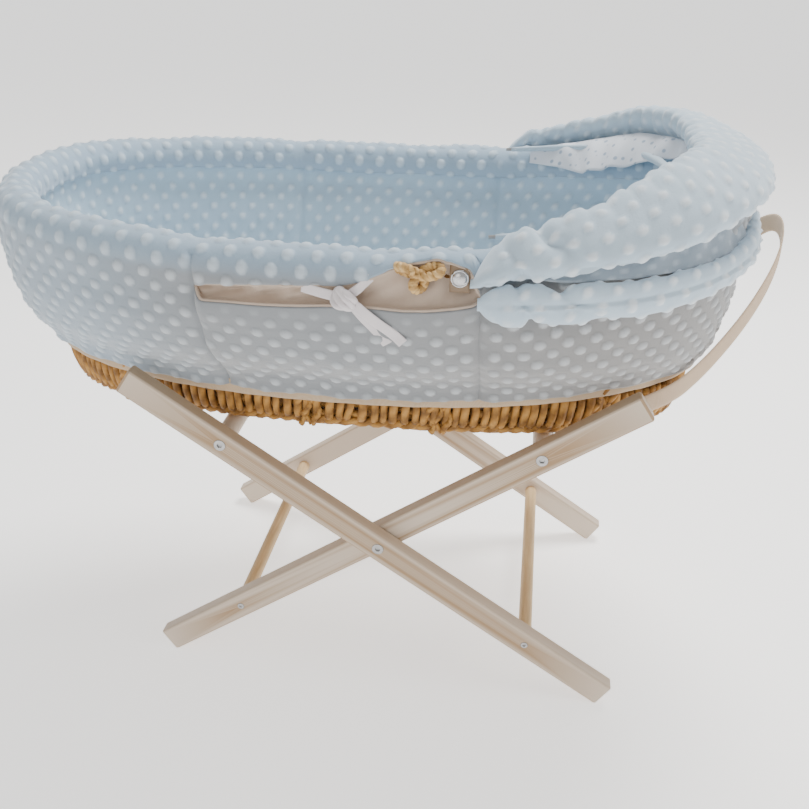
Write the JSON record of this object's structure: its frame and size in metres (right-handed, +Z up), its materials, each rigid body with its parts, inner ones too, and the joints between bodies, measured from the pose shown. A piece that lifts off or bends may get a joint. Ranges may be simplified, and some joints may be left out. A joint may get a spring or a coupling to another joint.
{
  "type": "moses basket on folding stand",
  "caption": "Oval woven leaf baby basket with padded plush dressing and a fold-back hood, resting on slings of a folding X stand of painted wood.",
  "frame": {"origin": "centre of the whole object's outline on the floor, under the middle of its bounding box", "axes": "+X along the length towards the basket's head (hood) end, +Z up, +Y to the far side"},
  "size_m": [0.892, 0.5418, 0.6418],
  "materials": {
    "painted_wood": "satin paint",
    "bare_wood": "satin",
    "steel": "satin",
    "webbing": "woven",
    "palm_leaf": "woven leaf",
    "leaf_rope": "twisted leaf",
    "leather_tab": "matte",
    "rivet_metal": "polished",
    "foam": "foam",
    "mattress_cotton": "woven",
    "plush": "dimpled plush",
    "cotton_trim": "plain weave",
    "tie_cotton": "plain weave",
    "strap_webbing": "woven",
    "arch_wire": "satin"
  },
  "bodies": {
    "foot_frame": {"foot_frame_dowel": "bare_wood", "foot_frame_dowel_screws": "steel", "foot_frame_leg_far": "painted_wood", "foot_frame_leg_near": "painted_wood", "foot_frame_rail": "painted_wood", "foot_frame_rail_bolts": "steel", "pivot_bolts": "steel", "pivot_nuts": "steel", "pivot_washers": "steel", "sling_strap_far": "webbing", "sling_strap_near": "webbing"},
    "head_frame": {"head_frame_dowel": "bare_wood", "head_frame_dowel_screws": "steel", "head_frame_leg_far": "painted_wood", "head_frame_leg_near": "painted_wood", "head_frame_rail": "painted_wood", "head_frame_rail_bolts": "steel", "sling_loops_head": "webbing"},
    "basket": {"basket_base": "palm_leaf", "basket_rim": "palm_leaf", "basket_wall": "palm_leaf", "cover_skirt": "plush", "handle_rivets": "rivet_metal", "handle_tabs": "leather_tab", "hem_binding": "cotton_trim", "hood_back_roll": "plush", "lifting_strap": "strap_webbing", "liner_wall": "plush", "mattress_core": "foam", "mattress_cover": "mattress_cotton", "rim_roll": "plush", "rope_handle_far": "leaf_rope", "rope_handle_near": "leaf_rope", "slit_facing_far": "cotton_trim", "slit_facing_near": "cotton_trim", "slit_tie_far": "tie_cotton", "slit_tie_near": "tie_cotton"},
    "hood": {"hood_canopy": "plush", "hood_arch_wire": "arch_wire"}
  },
  "joints": [
    {"name": "stand_fold", "type": "hinge", "parent": "foot_frame", "child": "head_frame", "pos_m": [0.02275, 0, 0.19371], "axis": [0, -1, 0], "range_deg": [0, 98]},
    {"name": "basket_lift", "type": "slide", "parent": "foot_frame", "child": "basket", "axis": [0, 0, 1], "range_m": [0, 0.62]},
    {"name": "hood_fold", "type": "hinge", "parent": "basket", "child": "hood", "pos_m": [0.13075, 0, 0.566], "axis": [0, -1, 0], "range_deg": [0, 78]}
  ],
  "couplings": [
    {"joint": "basket_lift", "follows": "stand_fold", "m_per_rad": 0.35}
  ]
}
